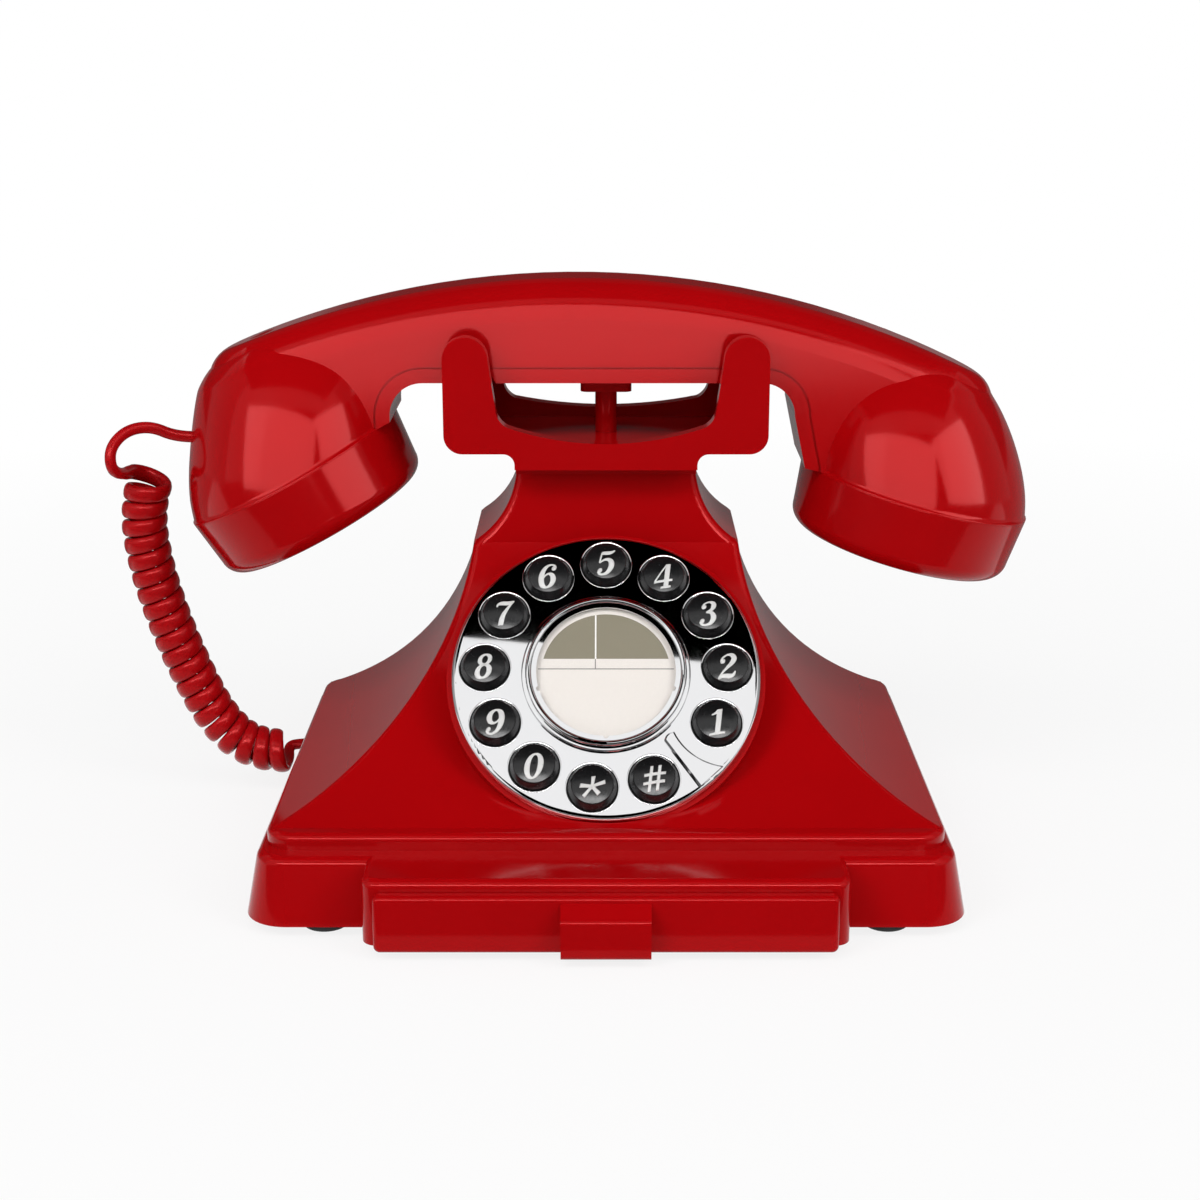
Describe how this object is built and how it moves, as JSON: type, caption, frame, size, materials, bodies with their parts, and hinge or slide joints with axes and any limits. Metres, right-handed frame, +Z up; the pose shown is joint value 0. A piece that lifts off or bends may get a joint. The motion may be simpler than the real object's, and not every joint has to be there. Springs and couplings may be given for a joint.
{
  "type": "desk telephone",
  "caption": "Corded desk telephone with push keys set in a round chrome dial, a hollow-sided tower, a cradle with an arched handset, a curly cord and a drawer in the base.",
  "frame": {"origin": "on the table under the middle of the telephone's outline, without its cord", "axes": "+X to the right of someone facing the dial, along the handset; -Y towards them; +Z up"},
  "size_m": [0.2541, 0.1573, 0.1521],
  "materials": {
    "red_plastic": "high-gloss moulded plastic, signal red",
    "red_cord": "satin extruded jacket, red",
    "chrome": "mirror-bright plating",
    "black_key": "glossy black domes",
    "card": "printed card, cream with an olive upper part",
    "clear_window": "clear polished plastic",
    "black_plastic": "fine-textured black plastic",
    "clear_plug": "clear moulded plug",
    "foot_rubber": "matt black rubber",
    "steel": "zinc-plated steel",
    "iron": "raw iron",
    "board": "green circuit board"
  },
  "bodies": {
    "base": {"upper_housing": "red_plastic", "base_plate": "black_plastic", "feet": "foot_rubber", "base_screws": "steel", "drawer_cover": "black_plastic", "cover_screws": "steel", "ballast_weight": "iron", "ballast_screws": "steel", "main_board": "board", "board_screws": "steel", "ringer_sounder": "black_plastic", "line_jack": "black_plastic", "handset_jack": "black_plastic", "cradle": "red_plastic", "cradle_screws": "steel", "hook_bracket": "steel", "bracket_screws": "steel", "hook_switch": "black_plastic", "plunger_spring": "steel", "dial_plate": "chrome", "label_bezel": "chrome", "label_card": "card", "label_window": "clear_window", "keypad_mat": "foot_rubber", "keypad_board": "board", "keypad_screws": "steel", "cord_lead": "red_cord", "curly_cord": "red_cord", "cord_plug": "clear_plug"},
    "handset": {"handset_shell": "red_plastic", "handset_lower_shell": "red_plastic", "handset_screws": "steel", "handset_weight": "iron", "ear_cap": "red_plastic", "mouth_cap": "red_plastic", "receiver_capsule": "black_plastic", "microphone_capsule": "black_plastic", "cord_gland": "red_cord"},
    "plunger": {"hook_plunger": "red_plastic"},
    "drawer": {"drawer": "red_plastic"},
    "key_1": {"key_1": "black_key"},
    "key_2": {"key_2": "black_key"},
    "key_3": {"key_3": "black_key"},
    "key_4": {"key_4": "black_key"},
    "key_5": {"key_5": "black_key"},
    "key_6": {"key_6": "black_key"},
    "key_7": {"key_7": "black_key"},
    "key_8": {"key_8": "black_key"},
    "key_9": {"key_9": "black_key"},
    "key_0": {"key_0": "black_key"},
    "key_star": {"key_star": "black_key"},
    "key_hash": {"key_hash": "black_key"}
  },
  "joints": [
    {"name": "handset_lift", "type": "slide", "parent": "base", "child": "handset", "axis": [0, 0, 1], "range_m": [0, 0.06], "deforming": ["cord_lead", "curly_cord"]},
    {"name": "hook_rise", "type": "slide", "parent": "base", "child": "plunger", "axis": [0, 0, 1], "range_m": [0, 0.004], "deforming": ["plunger_spring"]},
    {"name": "drawer_slide", "type": "slide", "parent": "base", "child": "drawer", "axis": [0, -1, 0], "range_m": [0, 0.075]},
    {"name": "key_1_press", "type": "slide", "parent": "base", "child": "key_1", "axis": [0, 0.7431, -0.6691], "range_m": [0, 0.002], "stiffness_N_per_m": 250, "springref_m": -0.001},
    {"name": "key_2_press", "type": "slide", "parent": "base", "child": "key_2", "axis": [0, 0.7431, -0.6691], "range_m": [0, 0.002], "stiffness_N_per_m": 250, "springref_m": -0.001},
    {"name": "key_3_press", "type": "slide", "parent": "base", "child": "key_3", "axis": [0, 0.7431, -0.6691], "range_m": [0, 0.002], "stiffness_N_per_m": 250, "springref_m": -0.001},
    {"name": "key_4_press", "type": "slide", "parent": "base", "child": "key_4", "axis": [0, 0.7431, -0.6691], "range_m": [0, 0.002], "stiffness_N_per_m": 250, "springref_m": -0.001},
    {"name": "key_5_press", "type": "slide", "parent": "base", "child": "key_5", "axis": [0, 0.7431, -0.6691], "range_m": [0, 0.002], "stiffness_N_per_m": 250, "springref_m": -0.001},
    {"name": "key_6_press", "type": "slide", "parent": "base", "child": "key_6", "axis": [0, 0.7431, -0.6691], "range_m": [0, 0.002], "stiffness_N_per_m": 250, "springref_m": -0.001},
    {"name": "key_7_press", "type": "slide", "parent": "base", "child": "key_7", "axis": [0, 0.7431, -0.6691], "range_m": [0, 0.002], "stiffness_N_per_m": 250, "springref_m": -0.001},
    {"name": "key_8_press", "type": "slide", "parent": "base", "child": "key_8", "axis": [0, 0.7431, -0.6691], "range_m": [0, 0.002], "stiffness_N_per_m": 250, "springref_m": -0.001},
    {"name": "key_9_press", "type": "slide", "parent": "base", "child": "key_9", "axis": [0, 0.7431, -0.6691], "range_m": [0, 0.002], "stiffness_N_per_m": 250, "springref_m": -0.001},
    {"name": "key_0_press", "type": "slide", "parent": "base", "child": "key_0", "axis": [0, 0.7431, -0.6691], "range_m": [0, 0.002], "stiffness_N_per_m": 250, "springref_m": -0.001},
    {"name": "key_star_press", "type": "slide", "parent": "base", "child": "key_star", "axis": [0, 0.7431, -0.6691], "range_m": [0, 0.002], "stiffness_N_per_m": 250, "springref_m": -0.001},
    {"name": "key_hash_press", "type": "slide", "parent": "base", "child": "key_hash", "axis": [0, 0.7431, -0.6691], "range_m": [0, 0.002], "stiffness_N_per_m": 250, "springref_m": -0.001}
  ],
  "couplings": [
    {"joint": "hook_rise", "follows": "handset_lift", "ratio": 0.066667}
  ]
}
